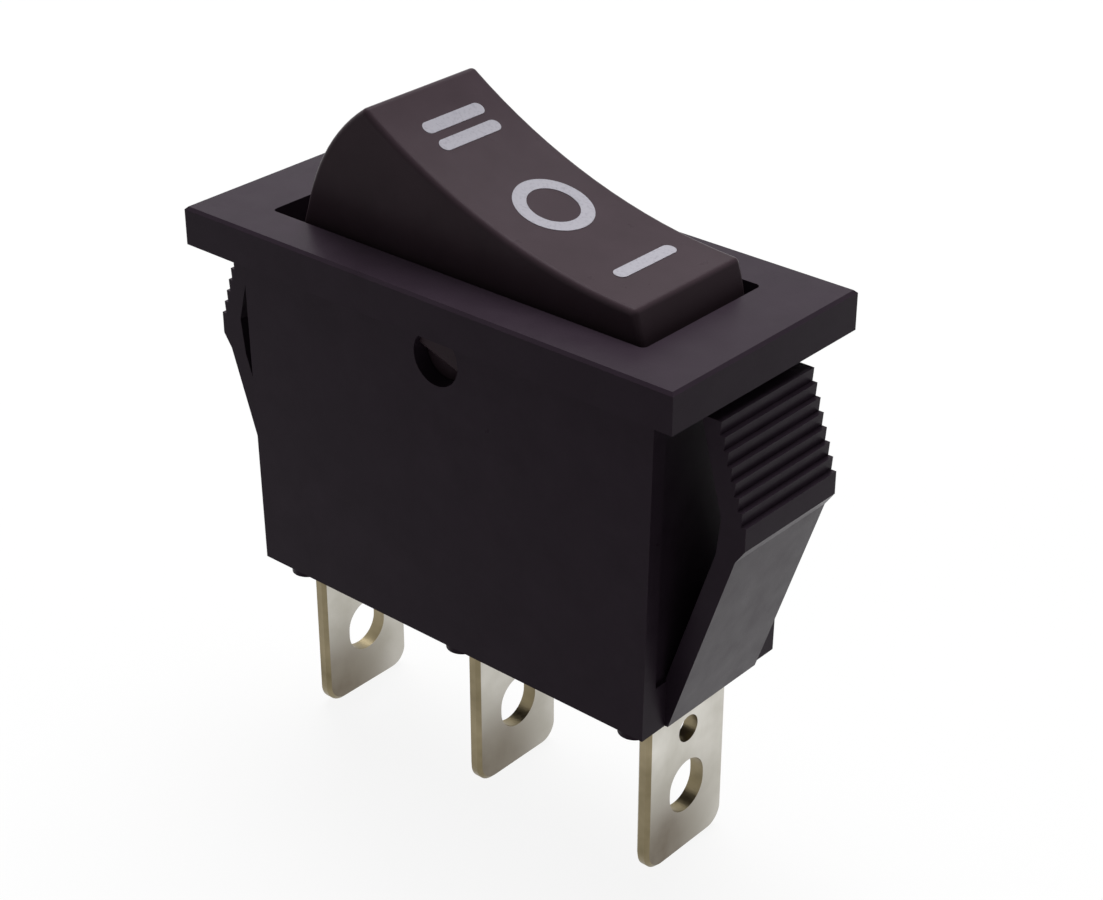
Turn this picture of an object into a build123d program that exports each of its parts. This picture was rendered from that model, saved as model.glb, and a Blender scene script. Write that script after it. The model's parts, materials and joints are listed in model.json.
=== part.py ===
from build123d import *
import math
import os

# Three-position snap-in rocker switch, in millimetres.
# Origin: centre of the bezel's underside, where the switch sits on its panel.
# +Z out of the panel towards the rocker, +X along the rocker towards its "I" end,
# +Y across the switch. Every piece is written in its place with the "I" end pressed.

# ---- Window, body and bezel ----
window_length = 23.7
side_wall = 0.9
end_wall = 0.9
latch_pocket = 0.5  # the end walls stand this far inside the ends of the side walls
body_width = 10.5
body_depth = 18.1
body_draft = 0.3  # each end leans in by this much at the bottom
bezel_end_flange = 2.25  # overhang past the body at each end
bezel_side_flange = 1.65
bezel_thickness = 2.05
bezel_edge = 0.15
window_corner = 0.3
floor_thickness = 2.0
floor_rib_height = 1.0
floor_rib_thickness = 0.9
floor_rib_gap = 0.6  # from the end of a throw terminal's shelf
collar_height = 0.85
collar_margin = 0.45  # plastic beside each blade's faces
collar_end_margin = 1.55  # and past its edges

# ---- Snap latches, one on each end; reaches are measured from the end of the body ----
latch_width = 7.0
latch_side_gap = 0.85
latch_top_gap = 0.62  # free end of the latch below the bezel
latch_top_reach = 2.36
latch_widest_reach = 3.92
latch_widest_depth = 5.5  # lowest ledge below the bezel
latch_lip = 1.2  # upright face below that ledge
latch_knee_reach = 3.4
latch_knee_depth = 7.45
latch_foot_reach = -0.12
latch_thickness = 1.1
latch_root_height = 2.6  # solid web joining the latch to the body, up from the bottom
latch_teeth = 7
latch_tooth_depth = 0.28

# ---- Rocker, described about its pivot with the rocker level ----
pivot_depth = 2.0  # pivot axis below the bezel's underside
rocker_tilt = 18.2  # degrees each way
rocker_side_gap = 0.46
rocker_end_gap = 1.0
rocker_rise = 8.53  # top edges above the pivot
rocker_dish = 1.2  # the middle of the top lies this far below its edges
rocker_top_setback = 2.19  # top edges inside the ends
rocker_end_radius = 10.2
rocker_end_skirt = 1.0  # end walls reach this far below the pivot
rocker_cheek_skirt = 2.8  # side walls reach this far below it at the middle
rocker_cheek_half = 3.2
rocker_edge = 0.3
rocker_roof = 1.5
rocker_end_thickness = 1.3
rocker_side_thickness = 0.95
rocker_rib = 0.9
trunnion_diameter = 2.75
trunnion_clearance = 0.05
trunnion_recess = 0.3  # end of the trunnion inside the outer face of the side wall
trunnion_ramp_drop = 0.65  # ramp below the axis at the inner face of the wall; on the axis at the end
boss_diameter = 4.6
boss_clearance = 0.1  # boss to the inner face of the side wall

# ---- Spring post, plunger and spring, along the rocker's own axis ----
post_wall = 0.85
post_length = 6.0  # below the pivot
bore_roof = 1.9  # plastic left above the bore
plunger_diameter = 2.6
plunger_clearance = 0.05
plunger_tip_radius = 1.0
plunger_shoulder = 0.9  # spring seat below the pivot
plunger_neck = 1.3
spigot_diameter = 1.2
spigot_length = 1.5
spring_wire = 0.3
spring_diameter = 2.3
spring_turns = 6
spring_wire_sides = 6
spring_end_gap = 0.01

# ---- Terminals: blades of the 6.3 x 0.8 quick-connect size ----
blade_thickness = 0.8
blade_width = 6.2
blade_length = 10.1  # below the bottom of the body
blade_corner = 1.2
blade_bevel = 0.2
blade_end_gap = 0.1  # throw terminal to the end wall
slot_hole_width = 2.7
slot_hole_length = 3.05
slot_hole_drop = 6.1  # hole centres below the bottom of the body
small_hole_diameter = 1.5
small_hole_drop = 2.6
slot_clearance = 0.03
bend_radius = 0.35
shelf_corner = 0.8
shoulder_overhang = 0.35  # the common terminal rests on the floor by these shoulders

# ---- See-saw contact arm, described about its fulcrum with the arm level ----
arm_tilt = 8.0  # degrees each way
arm_sheet = 0.7
arm_width = 6.6
arm_seat_gap = 0.03
arm_trough_angle = 42.0  # the trough turns up by this much on each side
arm_crest_run = 0.75
arm_bend_radius = 0.8
arm_platform_height = 1.15
arm_platform_half = 1.3
arm_corner = 1.0
waist_half_length = 0.75
ear_width = 0.9
ear_play = 0.1
ear_height = 1.5
ear_corner = 0.3
plunger_seat_gap = 0.05

# ---- Contacts ----
contact_inset = 2.55  # contact axis inside the blade's middle plane
contact_shank = 1.3
contact_gap = 0.02
moving_contact_diameter = 2.4
moving_contact_head = 0.3
moving_contact_dome = 0.25
fixed_contact_diameter = 2.8
fixed_contact_head = 0.6
shelf_margin = 1.5  # shelf past the contact's axis

# ---- Places and sizes that follow from the ones above ----
cavity_width = body_width - 2 * side_wall
cavity_half = window_length / 2
end_wall_x = cavity_half + end_wall
body_half = end_wall_x + latch_pocket
bezel_length = 2 * (body_half + bezel_end_flange)
bezel_width = body_width + 2 * bezel_side_flange
floor_z = floor_thickness - body_depth

rocker_half = cavity_half - rocker_end_gap
rocker_width = cavity_width - 2 * rocker_side_gap
rocker_top_half = rocker_half - rocker_top_setback
rocker_middle = rocker_rise - rocker_dish
end_arc_x = rocker_half - rocker_end_radius
end_arc_z = rocker_rise - math.sqrt(rocker_end_radius**2 - (rocker_top_half - end_arc_x) ** 2)
bore_diameter = plunger_diameter + 2 * plunger_clearance
bore_top = rocker_middle - bore_roof

blade_x = cavity_half - blade_end_gap - blade_thickness / 2
contact_x = blade_x - contact_inset
shelf_end_x = contact_x - shelf_margin
fixed_top_z = floor_z + blade_thickness + fixed_contact_head
rib_x = shelf_end_x - floor_rib_gap - floor_rib_thickness / 2

# A closing contact touches with the round of its dome, so the arm's own lean decides
# how high the fulcrum stands over the fixed contacts.
tilt = math.radians(rocker_tilt)
lean = math.radians(arm_tilt)
dome_radius = (moving_contact_dome**2 + (moving_contact_diameter / 2) ** 2) / (2 * moving_contact_dome)
contact_face = arm_platform_height - arm_sheet / 2 - moving_contact_head
dome_z = contact_face - moving_contact_dome + dome_radius
lowest_point = dome_z * math.cos(lean) - contact_x * math.sin(lean) - dome_radius
fulcrum_z = fixed_top_z + contact_gap - lowest_point

# The plunger's tip swings about the pivot while the arm leans the other way. Seen from
# the arm, the tip's centre follows an arc, and the trough that it rides in has its radius.
arm_underside = blade_thickness / 2 + arm_seat_gap
fulcrum_drop = -pivot_depth - fulcrum_z
tip_height = arm_underside + arm_sheet + plunger_seat_gap + plunger_tip_radius
tip_reach = fulcrum_drop - tip_height
side_x = tip_reach * math.sin(tilt)
side_z = fulcrum_drop - tip_reach * math.cos(tilt)
track_x = side_x * math.cos(lean) - side_z * math.sin(lean)
track_rise = side_x * math.sin(lean) + side_z * math.cos(lean) - tip_height
track_radius = (track_x**2 + track_rise**2) / (2 * track_rise)
trough_radius = track_radius + plunger_tip_radius + plunger_seat_gap
trough_z = arm_underside + arm_sheet + trough_radius
waist_half_width = blade_width / 2 + shoulder_overhang - ear_width - ear_play


def box(x0, x1, y0, y1, z0, z1):
    """Box between two opposite corners."""
    return Pos((x0 + x1) / 2, (y0 + y1) / 2, (z0 + z1) / 2) * Box(x1 - x0, y1 - y0, z1 - z0)


def across(profile, width):
    """Solid from a side outline drawn as (x, z), centred on the middle plane."""
    return extrude(Plane.XZ * profile, width / 2, both=True)


def polygon(points):
    """Face from its corners."""
    return make_face(Polyline(points, close=True))


def cross_rod(diameter, y0, y1, z):
    """Cylinder lying across the switch."""
    return Pos(0, (y0 + y1) / 2, z) * Rot(90, 0, 0) * Cylinder(diameter / 2, y1 - y0)


def upright_rod(diameter, z0, z1, x=0.0):
    """Upright cylinder between two heights."""
    return Pos(x, 0, (z0 + z1) / 2) * Cylinder(diameter / 2, z1 - z0)


def on_both_ends(shape):
    """The shape and its mirror image on the other end of the switch."""
    return [shape, mirror(shape, Plane.YZ)]


def with_rocker(shape):
    """Carry a shape drawn about the pivot to its place, with the "I" end pressed."""
    return Pos(0, 0, -pivot_depth) * Rot(0, rocker_tilt, 0) * shape


def with_arm(shape):
    """Carry a shape drawn about the fulcrum to its place, leaning the other way."""
    return Pos(0, 0, fulcrum_z) * Rot(0, -arm_tilt, 0) * shape


# ---- Housing ----
def bezel():
    """Flat rim that stays outside the panel."""
    plate = box(-bezel_length / 2, bezel_length / 2, -bezel_width / 2, bezel_width / 2, 0, bezel_thickness)
    return chamfer(plate.edges().group_by(Axis.Z)[-1], bezel_edge)


def body():
    """Solid body below the bezel, pocketed behind both latches."""
    foot = body_half - body_draft
    corners = [(-body_half, 0), (body_half, 0), (foot, -body_depth), (-foot, -body_depth)]
    block = across(polygon(corners), body_width)
    pocket_half = latch_width / 2 + latch_side_gap
    root_z = latch_root_height - body_depth
    pocket = box(end_wall_x, 2 * body_half, -pocket_half, pocket_half, root_z, 0)
    return block - on_both_ends(pocket)


def cavity():
    """Hollow for the rocker and the contacts, open through the bezel."""
    half_width = cavity_width / 2
    hollow = box(-cavity_half, cavity_half, -half_width, half_width, floor_z, 2 * bezel_thickness)
    return fillet(hollow.edges().filter_by(Axis.Z), window_corner)


def latch():
    """Springy tongue rooted at the bottom of the body, toothed above its widest point."""
    top_x = body_half + latch_top_reach
    widest_x = body_half + latch_widest_reach
    knee_x = body_half + latch_knee_reach
    foot_x = body_half + latch_foot_reach
    pitch = (latch_widest_depth - latch_top_gap) / latch_teeth
    growth = (widest_x - top_x) / latch_teeth
    outside = [(top_x, -latch_top_gap)]
    for tooth in range(1, latch_teeth + 1):
        ledge_z = -latch_top_gap - pitch * tooth
        tip_x = top_x + growth * tooth
        outside += [(tip_x - latch_tooth_depth, ledge_z), (tip_x, ledge_z)]
    outside += [
        (widest_x, -latch_widest_depth - latch_lip),
        (knee_x, -latch_knee_depth),
        (foot_x, -body_depth),
    ]
    root_z = latch_root_height - body_depth
    root_x = foot_x + (knee_x - foot_x) * latch_root_height / (body_depth - latch_knee_depth)
    inside = [
        (end_wall_x, -body_depth),
        (end_wall_x, root_z),
        (root_x - latch_thickness, root_z),
        (knee_x - latch_thickness, -latch_knee_depth),
        (widest_x - latch_tooth_depth - latch_thickness, -latch_widest_depth),
        (top_x - latch_thickness, -latch_top_gap),
    ]
    return across(polygon(outside + inside), latch_width)


def collar(x):
    """Obround collar round a blade, under the bottom of the body."""
    width = blade_thickness + 2 * collar_margin
    length = blade_width + 2 * collar_end_margin
    outline = Pos(x, 0, -body_depth - collar_height) * Rot(0, 0, 90) * SlotOverall(length, width)
    return extrude(outline, collar_height + floor_thickness / 2)


def floor_rib():
    """Low rib across the floor that keeps two terminals apart."""
    half = floor_rib_thickness / 2
    reach = body_width / 2 - side_wall / 2
    return box(rib_x - half, rib_x + half, -reach, reach, floor_z - half, floor_z + floor_rib_height)


def blade_slot(x):
    """Slot for a terminal, right through the floor and its collar."""
    half_x = blade_thickness / 2 + slot_clearance
    half_y = blade_width / 2 + slot_clearance
    return box(x - half_x, x + half_x, -half_y, half_y, -body_depth - collar_height, floor_z)


def bend_relief():
    """Chamfer on a slot's inner edge that clears the bend of a throw terminal."""
    inner = blade_x - blade_thickness / 2
    lead = bend_radius + slot_clearance
    corners = [(inner, floor_z), (inner - lead, floor_z), (inner, floor_z - lead)]
    return across(polygon(corners), blade_width + 2 * slot_clearance)


def housing():
    """Bezel, body, latches, collars and floor ribs, moulded in one piece."""
    shell = body() + bezel() - cavity()
    shell += [collar(x) for x in (-blade_x, 0, blade_x)]
    shell += on_both_ends(floor_rib())
    shell += on_both_ends(latch())
    shell -= [blade_slot(x) for x in (-blade_x, 0, blade_x)]
    shell -= on_both_ends(bend_relief())
    pivot_hole = trunnion_diameter + 2 * trunnion_clearance
    return shell - cross_rod(pivot_hole, -body_width, body_width, -pivot_depth)


# ---- Rocker ----
def rocker_outline(roof, ends, skirt):
    """Side outline of the rocker, or of its hollow when walls are given."""
    half = rocker_half - ends
    radius = rocker_end_radius - ends
    top = rocker_rise
    lower = polygon(
        [
            (half, end_arc_z),
            (half, -rocker_end_skirt - skirt),
            (rocker_cheek_half, -rocker_cheek_skirt - skirt),
            (-rocker_cheek_half, -rocker_cheek_skirt - skirt),
            (-half, -rocker_end_skirt - skirt),
            (-half, end_arc_z),
        ]
    )
    quarter = Pos(half / 2, (end_arc_z + top) / 2) * Rectangle(half, top - end_arc_z)
    upper = quarter & (Pos(end_arc_x, end_arc_z) * Circle(radius))
    dish_radius = (rocker_top_half**2 + rocker_dish**2) / (2 * rocker_dish)
    dish = Pos(0, rocker_middle - roof + dish_radius) * Circle(dish_radius)
    return lower + upper + mirror(upper, Plane.YZ) - dish


def trunnion():
    """Pivot pin on a boss, ramped below so that it snaps past the edge of the wall."""
    face = rocker_width / 2
    wall = cavity_width / 2
    end = body_width / 2 - trunnion_recess
    pin = cross_rod(trunnion_diameter, face - rocker_side_thickness / 2, end, 0)
    boss = cross_rod(boss_diameter, face - rocker_side_thickness / 2, wall - boss_clearance, 0)
    below = -trunnion_diameter
    ramp = Plane.YZ * polygon([(end, 0), (end, below), (wall, below), (wall, -trunnion_ramp_drop)])
    return pin + boss - extrude(ramp, trunnion_diameter, both=True)


def rocker():
    """Hollow rocker with a dished top, stiffening ribs, two trunnions and the spring post."""
    solid = across(rocker_outline(0, 0, 0), rocker_width)
    rims = solid.edges().filter_by(lambda edge: edge.center().Z > end_arc_z + rocker_edge)
    solid = fillet(rims, rocker_edge)
    hollow_width = rocker_width - 2 * rocker_side_thickness
    hollow = across(rocker_outline(rocker_roof, rocker_end_thickness, rocker_roof), hollow_width)
    half_rib = rocker_rib / 2
    long_rib = box(-rocker_half, rocker_half, -half_rib, half_rib, -rocker_end_skirt, rocker_middle)
    cross_rib = box(
        -half_rib, half_rib, -hollow_width / 2 - half_rib, hollow_width / 2 + half_rib,
        -rocker_cheek_skirt, rocker_middle - half_rib,
    )
    shell = solid - hollow + (long_rib & solid) + cross_rib
    shell += upright_rod(bore_diameter + 2 * post_wall, -post_length, bore_top + bore_roof / 2)
    shell += [trunnion(), mirror(trunnion(), Plane.XZ)]
    return shell - upright_rod(bore_diameter, -2 * post_length, bore_top)


def plunger():
    """Spring-loaded pin that pushes the contact arm over."""
    radius = plunger_diameter / 2
    spigot = spigot_diameter / 2
    tip = -tip_reach
    outline = make_face(
        Polyline(
            (0, tip - plunger_tip_radius),
            (0, spigot_length - plunger_shoulder),
            (spigot, spigot_length - plunger_shoulder),
            (spigot, -plunger_shoulder),
            (radius, -plunger_shoulder),
            (radius, tip + plunger_neck),
            (plunger_tip_radius, tip),
        )
        + CenterArc((0, tip), plunger_tip_radius, 270, 90)
    )
    return revolve(Plane.XZ * outline, Axis.Z)


def plunger_spring():
    """Compression spring between the plunger's shoulder and the top of the bore, its wire faceted."""
    wire = spring_wire / 2
    bottom = -plunger_shoulder + wire + spring_end_gap
    height = bore_top - wire - spring_end_gap - bottom
    radius = spring_diameter / 2 - wire
    path = Pos(0, 0, bottom) * Helix(height / spring_turns, height, radius)
    return sweep((path ^ 0) * RegularPolygon(wire, spring_wire_sides), path=path)


# ---- Contact arm ----
def arm_centreline():
    """Half of the strip's centreline: trough, crest, slope and contact platform."""
    middle_radius = trough_radius + arm_sheet / 2
    angle = math.radians(arm_trough_angle)
    rim = (middle_radius * math.sin(angle), trough_z - middle_radius * math.cos(angle))
    crest = (rim[0] + arm_crest_run * math.cos(angle), rim[1] + arm_crest_run * math.sin(angle))
    trough = CenterArc((0, trough_z), middle_radius, 270, arm_trough_angle)
    wing = FilletPolyline(
        rim,
        crest,
        (contact_x - arm_platform_half, arm_platform_height),
        (contact_x + arm_platform_half, arm_platform_height),
        radius=arm_bend_radius,
    )
    return Wire([*trough.edges(), *wing.edges()])


def contact_arm():
    """Bent strip that rocks on the common terminal, notched round its two ears."""
    end_x = contact_x + arm_platform_half
    half = make_face(offset(arm_centreline(), arm_sheet / 2, side=Side.BOTH))
    half &= Pos(end_x / 2, trough_z / 2) * Rectangle(end_x, trough_z)
    strip = across(half, arm_width)
    ends = strip.edges().filter_by(Axis.Z).group_by(Axis.X)[-1]
    strip = fillet(ends, arm_corner)
    notch = box(-waist_half_length, waist_half_length, waist_half_width, arm_width, 0, trough_z)
    holes = upright_rod(contact_shank, 0, 2 * arm_platform_height, contact_x)
    arm = strip + mirror(strip, Plane.YZ) - on_both_ends(holes)
    return arm - [notch, mirror(notch, Plane.XZ)]


def moving_contact():
    """Domed rivet on the arm's platform, on the +X side."""
    platform = arm_platform_height - arm_sheet / 2
    head = upright_rod(moving_contact_diameter, contact_face - moving_contact_dome, platform, contact_x)
    dome = Pos(contact_x, 0, dome_z) * Sphere(dome_radius)
    shank = upright_rod(contact_shank, platform, platform + arm_sheet, contact_x)
    return (head & (dome + upright_rod(moving_contact_diameter, contact_face, platform, contact_x))) + shank


# ---- Terminals ----
def blade(x):
    """Quick-connect blade from its tip up to the top of the floor."""
    tip = -body_depth - blade_length
    half = blade_width / 2
    outline = polygon([(-half, tip), (half, tip), (half, floor_z), (-half, floor_z)])
    outline = fillet(outline.vertices().group_by(Axis.Y)[0], blade_corner)
    drop = Pos(0, -body_depth - slot_hole_drop) * Rot(0, 0, 90)
    outline -= drop * SlotOverall(slot_hole_length, slot_hole_width)
    outline -= Pos(0, -body_depth - small_hole_drop) * Circle(small_hole_diameter / 2)
    plate = extrude(Plane.YZ * outline, blade_thickness / 2, both=True)
    rim = plate.edges().filter_by(
        lambda edge: abs(edge.center().X) > blade_thickness / 4 and edge.center().Z < tip + blade_corner
    )
    return Pos(x, 0, 0) * chamfer(rim, blade_bevel)


def throw_terminal():
    """Blade bent over the cavity floor into the shelf that carries a fixed contact."""
    outer = blade_x + blade_thickness / 2
    inner = blade_x - blade_thickness / 2
    top = floor_z + blade_thickness
    joint_z = floor_z - floor_thickness / 2
    corners = [
        (outer, joint_z),
        (outer, top),
        (shelf_end_x, top),
        (shelf_end_x, floor_z),
        (inner, floor_z),
        (inner, joint_z),
    ]
    strip = across(polygon(corners), blade_width)
    outside = strip.edges().filter_by(Axis.Y).sort_by_distance((outer, 0, top))[0]
    strip = fillet(outside, bend_radius + blade_thickness)
    inside = strip.edges().filter_by(Axis.Y).sort_by_distance((inner, 0, floor_z))[0]
    strip = fillet(inside, bend_radius)
    ends = strip.edges().filter_by(Axis.Z).group_by(Axis.X)[0]
    strip = fillet(ends, shelf_corner)
    above = box(0, 2 * blade_x, -blade_width, blade_width, joint_z, 0)
    terminal = strip + (blade(blade_x) - above)
    return terminal - upright_rod(contact_shank, floor_z, top, contact_x)


def fixed_contact():
    """Flat rivet through the shelf, on the +X side."""
    top = floor_z + blade_thickness
    head = upright_rod(fixed_contact_diameter, top, fixed_top_z, contact_x)
    return head + upright_rod(contact_shank, floor_z, top, contact_x)


def common_terminal():
    """Middle blade with shoulders on the floor, a rounded saddle and two ears."""
    outside = blade_width / 2 + shoulder_overhang
    inside = outside - ear_width
    ear_top = fulcrum_z + ear_height
    half_x = blade_thickness / 2
    fork = polygon([(-outside, floor_z), (outside, floor_z), (outside, ear_top), (-outside, ear_top)])
    fork -= polygon([(-inside, fulcrum_z), (inside, fulcrum_z), (inside, ear_top), (-inside, ear_top)])
    fork = fillet(fork.vertices().group_by(Axis.Y)[-1], ear_corner)
    plate = extrude(Plane.YZ * fork, half_x, both=True)
    return blade(0) + plate + cross_rod(blade_thickness, -inside, inside, fulcrum_z)


def all_parts():
    """Every piece of the switch, by name."""
    parts = {
        "housing": housing(),
        "rocker": with_rocker(rocker()),
        "plunger": with_rocker(plunger()),
        "plunger_spring": with_rocker(plunger_spring()),
        "contact_arm": with_arm(contact_arm()),
        "terminal_common": common_terminal(),
    }
    for name, side in (("right", 1), ("left", -1)):
        turn = Rot(0, 0, 0 if side > 0 else 180)
        parts[f"terminal_{name}"] = turn * throw_terminal()
        parts[f"fixed_contact_{name}"] = turn * fixed_contact()
        parts[f"moving_contact_{name}"] = with_arm(turn * moving_contact())
    return parts


os.makedirs("parts", exist_ok=True)
for part_name, part_shape in all_parts().items():
    export_step(part_shape, f"parts/{part_name}.step")
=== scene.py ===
"""Looks, light and camera for the three-position rocker switch. Everything is in metres."""

import json
import math

import bpy
from mathutils import Matrix, Vector


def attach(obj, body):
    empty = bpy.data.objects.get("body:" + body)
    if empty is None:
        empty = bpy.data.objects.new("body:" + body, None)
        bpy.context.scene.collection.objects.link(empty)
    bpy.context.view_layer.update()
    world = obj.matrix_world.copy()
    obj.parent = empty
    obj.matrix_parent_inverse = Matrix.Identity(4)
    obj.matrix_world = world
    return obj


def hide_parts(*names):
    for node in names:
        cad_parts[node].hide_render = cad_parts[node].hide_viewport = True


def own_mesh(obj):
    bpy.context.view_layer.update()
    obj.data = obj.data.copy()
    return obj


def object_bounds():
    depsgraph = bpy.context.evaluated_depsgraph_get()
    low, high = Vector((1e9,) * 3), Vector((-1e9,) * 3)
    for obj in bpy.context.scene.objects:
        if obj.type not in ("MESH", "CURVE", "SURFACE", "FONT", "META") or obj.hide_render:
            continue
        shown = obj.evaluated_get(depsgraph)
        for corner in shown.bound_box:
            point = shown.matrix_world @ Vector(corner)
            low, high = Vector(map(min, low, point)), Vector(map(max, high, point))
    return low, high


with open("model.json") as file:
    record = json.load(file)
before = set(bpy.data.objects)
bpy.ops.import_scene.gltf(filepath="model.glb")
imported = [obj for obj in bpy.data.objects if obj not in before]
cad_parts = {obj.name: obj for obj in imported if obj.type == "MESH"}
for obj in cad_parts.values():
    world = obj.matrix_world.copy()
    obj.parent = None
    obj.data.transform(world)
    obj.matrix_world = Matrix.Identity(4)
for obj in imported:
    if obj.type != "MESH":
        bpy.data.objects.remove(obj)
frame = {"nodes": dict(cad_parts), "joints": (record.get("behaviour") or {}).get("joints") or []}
cad_low, cad_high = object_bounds()
nodes = frame["nodes"]
joints = {joint["name"]: joint for joint in frame["joints"]}

MM = 0.001
WHITE = (1, 1, 1, 1)
BLACK = (0, 0, 0, 1)

# ---- Camera: it looks at AIM from this side, with the long side of the frame on the sensor ----
AIM = Vector((4.1, -1.58, -6.97)) * MM
AZIMUTH = 40.83
ELEVATION = 28.87
DISTANCE = 113.9 * MM
LENS = 76.76
SENSOR = 36.0
CLIP_RATIO = 50  # the camera sees from DISTANCE over this to DISTANCE times this

# ---- Printed symbols: places along the rocker and sizes, in the rocker's own level frame ----
PRINT_THICKNESS = 0.02 * MM
PRINT_Y = 0.22 * MM
TWO_BARS_X = (-6.46 * MM, -5.26 * MM)
TWO_BARS_SIZE = (0.72 * MM, 4.1 * MM)
RING_X = 0.4 * MM
RING_OUTER = 4.02 * MM
RING_INNER = 2.63 * MM
ONE_BAR_X = 6.04 * MM
ONE_BAR_SIZE = (0.75 * MM, 4.2 * MM)
BAR_SHARES = (0.001, 0.5, 0.85, 1.0)  # loops of a bar, as shares of its width
BAR_POINTS = 48
RING_SHARES = (0, 0.33, 0.67, 1)  # loops of the ring, from its inner to its outer edge
RING_POINTS = 96
DROP_HEIGHT = 20 * MM  # above the pivot, where points start their drop onto the rocker

# ---- Nylon: darkest and lightest colour, lowest and highest roughness, sizes of its marks ----
HOUSING_COLOURS = ((0.038, 0.026, 0.038), (0.053, 0.037, 0.053))
HOUSING_ROUGHNESS = (0.27, 0.38)
HOUSING_GRAIN_DEPTH = 0.006 * MM
ROCKER_COLOURS = ((0.062, 0.042, 0.051), (0.08, 0.054, 0.067))
ROCKER_ROUGHNESS = (0.26, 0.36)
ROCKER_GRAIN_DEPTH = 0.004 * MM
GRAIN_SIZE = 0.09 * MM
MOTTLE_SIZE = 2.2 * MM
CLOUD_SIZE = 7.0 * MM
SHEEN_SIZE = 1.3 * MM
WAVE_SIZE = 3.5 * MM
WAVE_DEPTH = 0.02 * MM
NYLON_GLOSS = 0.045
NYLON_GLOSS_TINT = (1.0, 0.88, 0.97, 1)
RAMP_GLOSS = 0.055  # added on the latches' smooth ramps
RAMP_LEAN = -0.42  # upward part of those ramps' own direction
RAMP_LEAN_SPREAD = 0.24  # how far it may be from that

# ---- Blades: colours, sizes of their marks, and painted shade towards the -Y corner of each tip, standing in for the floor's shadow that the tips mirror ----
TIN_COLOURS = ((0.53, 0.51, 0.45), (0.73, 0.71, 0.655))
CUT_BRASS_COLOURS = ((0.17, 0.14, 0.08), (0.31, 0.26, 0.165))
CUT_LEAN = 0.8  # faces that point less than this along X are cut ones
ROLLING_SIZE = 0.5 * MM
ROLLING_DEPTH = 0.006 * MM
PATCH_SIZE = 2.8 * MM
SCRATCH_SIZE = 0.12 * MM
SCRATCH_DEPTH = 0.004 * MM
# painted shade: a dark colour laid on the low -Y corner of each blade tip, in place of the shaded
# floor mirrored there
PAINTED_SHADE_COLOUR = (0.1, 0.072, 0.04, 1)
PAINTED_SHADE_HEIGHT = 7.3 * MM  # above the tip, where it starts
PAINTED_SHADE_FULL = 0.8 * MM  # above the tip, where it is full
PAINTED_SHADE_START = 1.5  # where it starts and is full across the blade, in halves of its width
PAINTED_SHADE_END = -0.6

# ---- Metals inside, acetal and ink ----
SILVER_COLOURS = ((0.72, 0.72, 0.7), (0.88, 0.88, 0.86))
BRASS_COLOURS = ((0.66, 0.47, 0.2), (0.78, 0.6, 0.31))
STEEL_COLOURS = ((0.45, 0.45, 0.46), (0.62, 0.62, 0.63))
METAL_LINE_DEPTH = 0.005 * MM
ACETAL_COLOURS = ((0.72, 0.7, 0.63), (0.8, 0.785, 0.73))
ACETAL_GLOW_DEPTH = (0.6 * MM, 0.5 * MM, 0.4 * MM)
INK_COLOURS = ((0.42, 0.405, 0.47), (0.52, 0.505, 0.57))
INK_UNEVENNESS = 0.006 * MM

# ---- Floor and studio ----
FLOOR_HALF = 1.5
FLOOR_ALBEDO = (0.43, 0.45)
FLOOR_PATCHES = 40 * MM
FLOOR_SHADED = 0.7  # share of its colour that the floor loses to the eye
FLOOR_GLOW_NEAR = 0.895  # what it shows in its place, up to GLOW_START from the origin
FLOOR_GLOW_FAR = 1.0  # and past GLOW_END
GLOW_START = 0.1
GLOW_END = 0.6
WORLD_FILL = 0.1  # the world's strength as light, and as seen
WORLD_SEEN = 1.0
LAMP_DISTANCE = 0.5
LAMP_SIZE = 0.4


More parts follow.
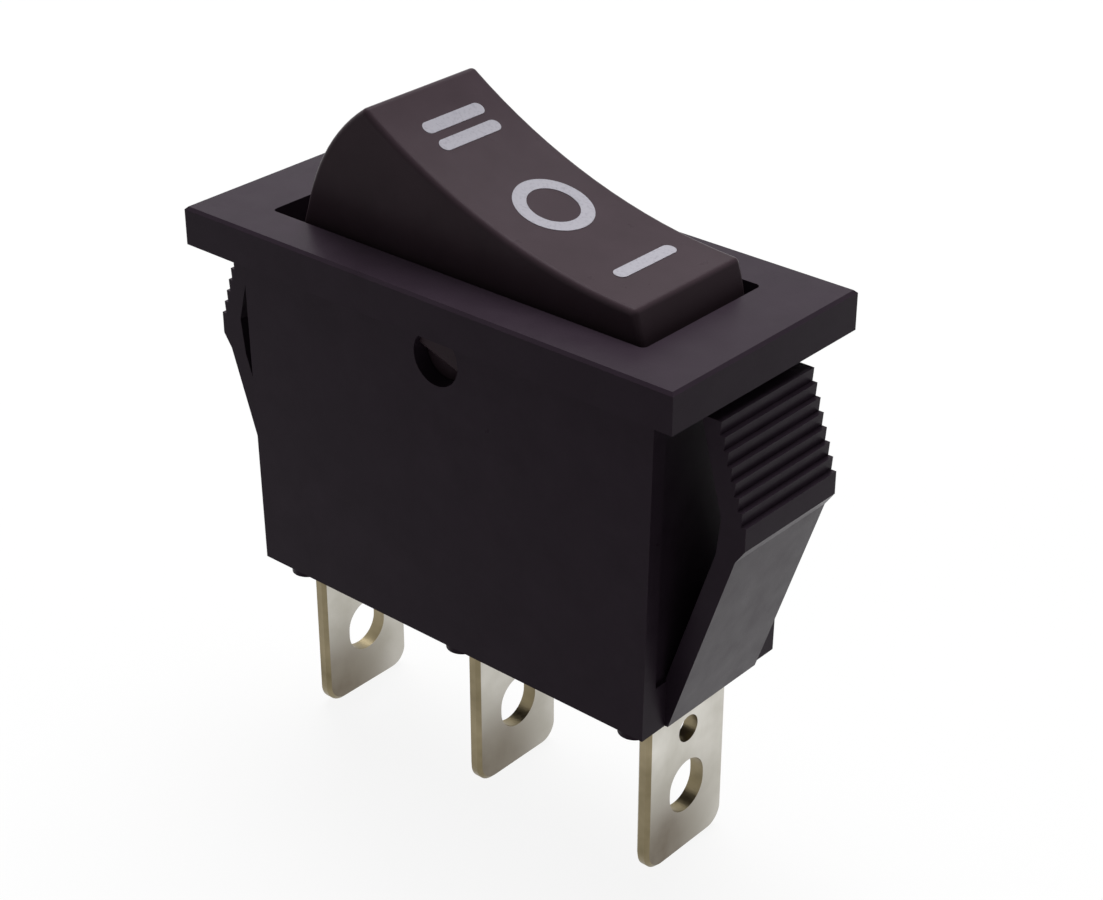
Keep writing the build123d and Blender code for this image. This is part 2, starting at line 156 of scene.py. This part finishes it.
# ---- Shader helpers ----
class Shader:
    """A material's nodes, added one after another in object coordinates."""

    def __init__(self, name):
        self.material = bpy.data.materials.new(name)
        self.material.use_nodes = True
        self.tree = self.material.node_tree
        self.surface = self.tree.nodes["Principled BSDF"]
        self.output = self.tree.nodes["Material Output"]
        coordinates = self.add("ShaderNodeTexCoord")
        self.place = coordinates.outputs["Object"]
        self.normal = coordinates.outputs["Normal"]

    def add(self, kind, links=None, **settings):
        """New node with its settings, and its inputs linked or set by name."""
        node = self.tree.nodes.new(kind)
        for key, value in settings.items():
            setattr(node, key, value)
        for key, value in (links or {}).items():
            if isinstance(value, bpy.types.NodeSocket):
                self.tree.links.new(value, node.inputs[key])
            else:
                node.inputs[key].default_value = value
        return node

    def noise(self, size, detail=4.0, roughness=0.55, stretch=(1, 1, 1)):
        """Noise whose grain is about size metres across."""
        scaled = self.add("ShaderNodeMapping", {"Vector": self.place, "Scale": stretch})
        grain = {
            "Vector": scaled.outputs["Vector"],
            "Scale": 1 / size,
            "Detail": detail,
            "Roughness": roughness,
        }
        return self.add("ShaderNodeTexNoise", grain).outputs["Fac"]

    def ramp(self, factor, stops):
        """Colour ramp through (position, value) or (position, (r, g, b)) stops."""
        node = self.add("ShaderNodeValToRGB", {"Fac": factor})
        elements = node.color_ramp.elements
        for extra in stops[2:]:
            elements.new(extra[0])
        for element, (position, value) in zip(elements, stops):
            element.position = position
            colour = (value, value, value) if isinstance(value, (int, float)) else value
            element.color = (*colour, 1)
        return node.outputs["Color"]

    def mix(self, factor, first, second, blend="MIX"):
        """Two colours mixed."""
        node = self.add("ShaderNodeMix", data_type="RGBA", blend_type=blend)
        for key, value in (("Factor", factor), ("A", first), ("B", second)):
            sockets = [s for s in node.inputs if s.name == key and s.enabled]
            if isinstance(value, bpy.types.NodeSocket):
                self.tree.links.new(value, sockets[0])
            else:
                sockets[0].default_value = value
        return next(s for s in node.outputs if s.enabled)

    def fade(self, axis, start, end):
        """0 at start and 1 at end along one of the object's axes, eased at both."""
        place = self.add("ShaderNodeSeparateXYZ", {"Vector": self.place}).outputs[axis]
        span = {"Value": place, "From Min": start, "From Max": end}
        eased = self.add("ShaderNodeMapRange", span, interpolation_type="SMOOTHSTEP")
        return eased.outputs["Result"]

    def math(self, operation, *values):
        """Values combined by one operation."""
        node = self.add("ShaderNodeMath", dict(enumerate(values)), operation=operation)
        return node.outputs["Value"]

    def facing(self, axis):
        """The surface's own direction along one of the object's axes, from -1 to 1."""
        return self.add("ShaderNodeSeparateXYZ", {"Vector": self.normal}).outputs[axis]

    def bump(self, height, depth, strength=1.0, normal=None):
        """Bump whose full height is depth metres."""
        links = {"Height": height, "Distance": depth, "Strength": strength}
        if normal is not None:
            links["Normal"] = normal
        return self.add("ShaderNodeBump", links).outputs["Normal"]

    def finish(self, **sockets):
        """Set or link the surface's own sockets, named with underscores for spaces."""
        for key, value in sockets.items():
            socket = self.surface.inputs[key.replace("_", " ")]
            if isinstance(value, bpy.types.NodeSocket):
                self.tree.links.new(value, socket)
            else:
                socket.default_value = value
        return self.material


def moulded_nylon(name, colours, roughness, grain_depth, ramp_gloss=0.0):
    """Black moulded nylon: faint mottling, a fine spark-eroded grain and uneven sheen.

    Faces that lean outwards and down, as the latches' ramps do, get ramp_gloss on top.
    """
    dark, light = colours
    smooth, rough = roughness
    shader = Shader(name)
    mottle = shader.noise(MOTTLE_SIZE, detail=5)
    cloud = shader.noise(CLOUD_SIZE, detail=2)
    colour = shader.mix(cloud, shader.ramp(mottle, [(0.3, dark), (0.7, light)]), (*dark, 1))
    fine = shader.noise(GRAIN_SIZE, detail=3, roughness=0.7)
    sheen = shader.ramp(shader.noise(SHEEN_SIZE, detail=6), [(0.25, smooth), (0.75, rough)])
    waves = shader.bump(shader.noise(WAVE_SIZE, detail=1), WAVE_DEPTH, strength=0.6)
    normal = shader.bump(fine, grain_depth, strength=0.8, normal=waves)
    leaning = shader.math("COMPARE", shader.facing("Z"), RAMP_LEAN, RAMP_LEAN_SPREAD)
    gloss = shader.math("MULTIPLY_ADD", leaning, ramp_gloss, NYLON_GLOSS)
    return shader.finish(
        Base_Color=colour,
        Roughness=sheen,
        Normal=normal,
        IOR=1.5,
        Specular_IOR_Level=gloss,
        Specular_Tint=NYLON_GLOSS_TINT,
    )


def plated_blade(tip, half_width):
    """Tin-plated brass strip: rolling lines, bare cut faces and painted shade darkening the -Y
    corner at the tip, in place of the shaded floor it mirrors.
    """
    shader = Shader("plated_blade")
    rolled = shader.noise(ROLLING_SIZE, detail=6, stretch=(1, 9, 0.35))
    patches = shader.noise(PATCH_SIZE, detail=3)
    scratch = shader.noise(SCRATCH_SIZE, detail=2, stretch=(1, 0.12, 4))
    tin = shader.ramp(patches, [(0.3, TIN_COLOURS[0]), (0.72, TIN_COLOURS[1])])
    tin = shader.mix(0.25, tin, shader.ramp(rolled, [(0.3, 0.62), (0.7, 0.86)]), "MULTIPLY")
    # painted shade: the low -Y corner of the tip is darkened, unevenly, to stand in for the
    # floor's shadow mirrored there
    low = shader.fade("Z", tip + PAINTED_SHADE_HEIGHT, tip + PAINTED_SHADE_FULL)
    near = shader.fade("Y", PAINTED_SHADE_START * half_width, PAINTED_SHADE_END * half_width)
    painted_shade = shader.math("MULTIPLY", low, near)
    painted_shade = shader.math("MULTIPLY", painted_shade, shader.ramp(patches, [(0.25, 0.7), (0.7, 1.0)]))
    face = shader.mix(painted_shade, tin, PAINTED_SHADE_COLOUR)
    cut = shader.math("COMPARE", shader.facing("X"), 0.0, CUT_LEAN)
    brass = shader.ramp(patches, [(0.3, CUT_BRASS_COLOURS[0]), (0.7, CUT_BRASS_COLOURS[1])])
    rough = shader.ramp(rolled, [(0.2, 0.3), (0.8, 0.46)])
    lines = shader.bump(rolled, ROLLING_DEPTH, strength=0.5)
    normal = shader.bump(scratch, SCRATCH_DEPTH, strength=0.5, normal=lines)
    return shader.finish(
        Base_Color=shader.mix(cut, face, brass), Roughness=rough, Normal=normal, Metallic=1.0
    )


def metal(name, colours, smooth, rough, grain, stretch=(1, 1, 1)):
    """Bare metal with a fine grain, or rolled lines where stretch draws it out."""
    shader = Shader(name)
    lines = shader.noise(grain, detail=6, stretch=stretch)
    tint = shader.noise(3.0 * MM, detail=3)
    colour = shader.ramp(tint, [(0.3, colours[0]), (0.7, colours[1])])
    rough_map = shader.ramp(lines, [(0.25, smooth), (0.75, rough)])
    normal = shader.bump(lines, METAL_LINE_DEPTH, strength=0.5)
    return shader.finish(Base_Color=colour, Roughness=rough_map, Normal=normal, Metallic=1.0)


def acetal():
    """Natural acetal: waxy off-white with a little light passing under its skin."""
    shader = Shader("acetal")
    tint = shader.noise(1.5 * MM, detail=3)
    colour = shader.ramp(tint, [(0.3, ACETAL_COLOURS[0]), (0.7, ACETAL_COLOURS[1])])
    normal = shader.bump(shader.noise(0.15 * MM), 0.004 * MM, strength=0.5)
    return shader.finish(
        Base_Color=colour,
        Roughness=0.42,
        Normal=normal,
        Subsurface_Weight=0.15,
        Subsurface_Radius=ACETAL_GLOW_DEPTH,
    )


def printed_white():
    """Pad-printed white ink, slightly uneven and not quite opaque at its thin spots."""
    shader = Shader("printed_white")
    thin = shader.noise(0.16 * MM, detail=4)
    colour = shader.ramp(thin, [(0.28, INK_COLOURS[0]), (0.5, INK_COLOURS[1])])
    normal = shader.bump(thin, INK_UNEVENNESS, strength=0.4)
    return shader.finish(
        Base_Color=colour, Roughness=0.5, Normal=normal, Specular_IOR_Level=0.3
    )


def dress(material, *names):
    """Give CAD nodes one material."""
    for name in names:
        data = nodes[name].data
        data.materials.clear()
        data.materials.append(material)


def dress_frame():
    """Materials of every CAD node."""
    housing = moulded_nylon(
        "housing_nylon", HOUSING_COLOURS, HOUSING_ROUGHNESS, HOUSING_GRAIN_DEPTH, RAMP_GLOSS
    )
    rocker = moulded_nylon("rocker_nylon", ROCKER_COLOURS, ROCKER_ROUGHNESS, ROCKER_GRAIN_DEPTH)
    silver = metal("contact_silver", SILVER_COLOURS, smooth=0.2, rough=0.34, grain=0.2 * MM)
    brass = metal(
        "arm_brass", BRASS_COLOURS, smooth=0.24, rough=0.4, grain=0.4 * MM, stretch=(0.3, 6, 1)
    )
    steel = metal("spring_wire", STEEL_COLOURS, smooth=0.2, rough=0.34, grain=0.1 * MM)
    dress(housing, "housing")
    dress(rocker, "rocker")
    dress(acetal(), "plunger")
    dress(steel, "plunger_spring")
    dress(brass, "contact_arm")
    corners = nodes["terminal_right"].bound_box
    blade = plated_blade(min(z for _, _, z in corners), max(y for _, y, _ in corners))
    dress(blade, "terminal_common", "terminal_left", "terminal_right")
    for side in ("left", "right"):
        dress(silver, f"moving_contact_{side}", f"fixed_contact_{side}")


# ---- Spring carried with the rocker ----
def coil_spring():
    """The spring's own shape again, as a copy carried with the rocker in place of the CAD spring.
    """
    mesh = nodes["plunger_spring"].data.copy()
    coil = bpy.data.objects.new("coil_spring", mesh)
    bpy.context.scene.collection.objects.link(coil)
    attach(coil, "rocker")
    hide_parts("plunger_spring")
    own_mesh(coil)


# ---- Symbols printed on the rocker ----
def rocker_frame():
    """The rocker's own level frame: its pivot, turned half its travel from level."""
    hinge = joints["rocker_tilt"]
    tilt = math.radians(-hinge["range_deg"][0] / 2)
    return Matrix.Translation(Vector(hinge["pos_m"])) @ Matrix.Rotation(tilt, 4, "Y")


def on_rocker(x, y, lift, level):
    """Point that lies lift above the rocker's dished top, at x and y of its level frame."""
    start = level @ Vector((x, y, DROP_HEIGHT))
    down = (level.to_3x3() @ Vector((0, 0, -1))).normalized()
    hit, spot, _, _ = nodes["rocker"].ray_cast(start, down)
    if not hit:
        raise ValueError("a printed symbol runs off the rocker")
    return spot - down * lift


def print_symbol(name, loops, material):
    """Thin raised print: a band of faces between each loop of (x, y) points and the next."""
    level = rocker_frame()
    count = len(loops[0])
    layers = [(loops[0], -PRINT_THICKNESS)]
    layers += [(loop, PRINT_THICKNESS) for loop in loops]
    layers += [(loops[-1], -PRINT_THICKNESS)]
    points = [on_rocker(x, y, lift, level) for loop, lift in layers for x, y in loop]
    faces = []
    for row in range(len(layers) - 1):
        for step in range(count):
            after = (step + 1) % count
            low, high = row * count, (row + 1) * count
            faces.append((low + step, low + after, high + after, high + step))
    mesh = bpy.data.meshes.new(name)
    mesh.from_pydata(points, [], faces)
    mesh.materials.append(material)
    piece = bpy.data.objects.new(name, mesh)
    bpy.context.scene.collection.objects.link(piece)
    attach(piece, "rocker")


def circle(x, y, diameter, count):
    """Loop of points round a circle."""
    turns = [2 * math.pi * step / count for step in range(count)]
    return [(x + diameter / 2 * math.cos(a), y + diameter / 2 * math.sin(a)) for a in turns]


def obround(x, y, width, length, share):
    """Loop round a bar with rounded ends along y, narrowed to a share of its width."""
    straight = (length - width) / 2
    loop = circle(0, 0, width * share, BAR_POINTS)
    return [(x + px, y + py + math.copysign(straight, py or 1)) for px, py in loop]


def print_symbols():
    """Two bars at one end, a ring in the middle and one bar at the other end."""
    ink = printed_white()
    for number, x in enumerate(TWO_BARS_X, 1):
        bar = [obround(x, PRINT_Y, *TWO_BARS_SIZE, share) for share in BAR_SHARES]
        print_symbol(f"symbol_two_bar_{number}", bar, ink)
    sizes = [RING_INNER + (RING_OUTER - RING_INNER) * share for share in RING_SHARES]
    ring = [circle(RING_X, PRINT_Y, size, RING_POINTS) for size in sizes]
    print_symbol("symbol_ring", ring, ink)
    bar = [obround(ONE_BAR_X, PRINT_Y, *ONE_BAR_SIZE, share) for share in BAR_SHARES]
    print_symbol("symbol_one_bar", bar, ink)


# ---- Floor, light and camera ----
def seen_directly(tree):
    """1 for camera, glossy and transmission rays, and 0 for the light that falls on things."""
    rays = tree.nodes.new("ShaderNodeLightPath")
    total = rays.outputs["Is Camera Ray"]
    for name in ("Is Glossy Ray", "Is Transmission Ray"):
        either = tree.nodes.new("ShaderNodeMath")
        either.operation = "MAXIMUM"
        tree.links.new(total, either.inputs[0])
        tree.links.new(rays.outputs[name], either.inputs[1])
        total = either.outputs[0]
    return total


def white_floor():
    """Pale floor under the blades: white to the eye where it is lit, with a soft shadow.

    What it shows to the eye grows with distance, as the lamps reach it less.
    """
    half = FLOOR_HALF
    low = cad_low.z
    mesh = bpy.data.meshes.new("floor")
    corners = [(-half, -half, low), (half, -half, low), (half, half, low), (-half, half, low)]
    mesh.from_pydata(corners, [], [(0, 1, 2, 3)])
    floor = bpy.data.objects.new("floor", mesh)
    bpy.context.scene.collection.objects.link(floor)
    shader = Shader("floor_white")
    seen = seen_directly(shader.tree)
    patches = shader.noise(FLOOR_PATCHES)
    pale = shader.ramp(patches, [(0.3, FLOOR_ALBEDO[0]), (0.7, FLOOR_ALBEDO[1])])
    shaded = shader.mix(shader.math("MULTIPLY", seen, FLOOR_SHADED), pale, BLACK)
    shader.finish(Base_Color=shaded, Roughness=0.9, Specular_IOR_Level=0.0)
    away = shader.add("ShaderNodeVectorMath", {0: shader.place}, operation="LENGTH")
    span = {
        "Value": away.outputs["Value"],
        "From Min": GLOW_START,
        "From Max": GLOW_END,
        "To Min": FLOOR_GLOW_NEAR,
        "To Max": FLOOR_GLOW_FAR,
    }
    rising = shader.add("ShaderNodeMapRange", span, interpolation_type="SMOOTHSTEP")
    strength = shader.math("MULTIPLY", seen, rising.outputs["Result"])
    glow = shader.add("ShaderNodeEmission", {"Color": WHITE, "Strength": strength})
    shown = shader.add("ShaderNodeAddShader")
    shader.tree.links.new(shader.surface.outputs[0], shown.inputs[0])
    shader.tree.links.new(glow.outputs[0], shown.inputs[1])
    shader.tree.links.new(shown.outputs[0], shader.output.inputs["Surface"])
    mesh.materials.append(shader.material)


def world_light():
    """White to the eye and in reflections, and a soft fill for the rest."""
    world = bpy.data.worlds.new("studio")
    bpy.context.scene.world = world
    world.use_nodes = True
    tree = world.node_tree
    background = tree.nodes["Background"]
    background.inputs["Color"].default_value = WHITE
    level = tree.nodes.new("ShaderNodeMapRange")
    tree.links.new(seen_directly(tree), level.inputs["Value"])
    level.inputs["To Min"].default_value = WORLD_FILL
    level.inputs["To Max"].default_value = WORLD_SEEN
    tree.links.new(level.outputs["Result"], background.inputs["Strength"])


def towards(azimuth, elevation):
    """Direction in degrees round from the -Y side and up from level."""
    around, up = math.radians(azimuth), math.radians(elevation)
    return Vector(
        (math.sin(around) * math.cos(up), -math.cos(around) * math.cos(up), math.sin(up))
    )


def aimed(name, data, target, side, distance):
    """New object that looks at target from one side."""
    thing = bpy.data.objects.new(name, data)
    thing.location = target + side * distance
    thing.rotation_euler = side.to_track_quat("Z", "Y").to_euler()
    bpy.context.scene.collection.objects.link(thing)
    return thing


def soft_lamp(name, azimuth, elevation, watts):
    """Square softbox aimed at the middle of the switch and not seen itself."""
    data = bpy.data.lights.new(name, "AREA")
    data.shape = "SQUARE"
    data.size = LAMP_SIZE
    data.energy = watts
    middle = (cad_low + cad_high) / 2
    lamp = aimed(name, data, middle, towards(azimuth, elevation), LAMP_DISTANCE)
    lamp.visible_camera = False


def lights():
    """Softbox overhead, leaning to the back left, and a weak one lower down behind it."""
    soft_lamp("overhead", azimuth=215, elevation=68, watts=2.3)
    soft_lamp("back_left", azimuth=221, elevation=30, watts=0.1)


def camera():
    """Camera at the photographed angle."""
    data = bpy.data.cameras.new("camera")
    data.lens = LENS
    data.sensor_width = SENSOR
    data.clip_start = DISTANCE / CLIP_RATIO
    data.clip_end = DISTANCE * CLIP_RATIO
    eye = aimed("camera", data, AIM, towards(AZIMUTH, ELEVATION), DISTANCE)
    bpy.context.scene.camera = eye


bpy.context.scene.view_settings.view_transform = "Standard"
camera()
dress_frame()
coil_spring()
print_symbols()
white_floor()
world_light()
lights()
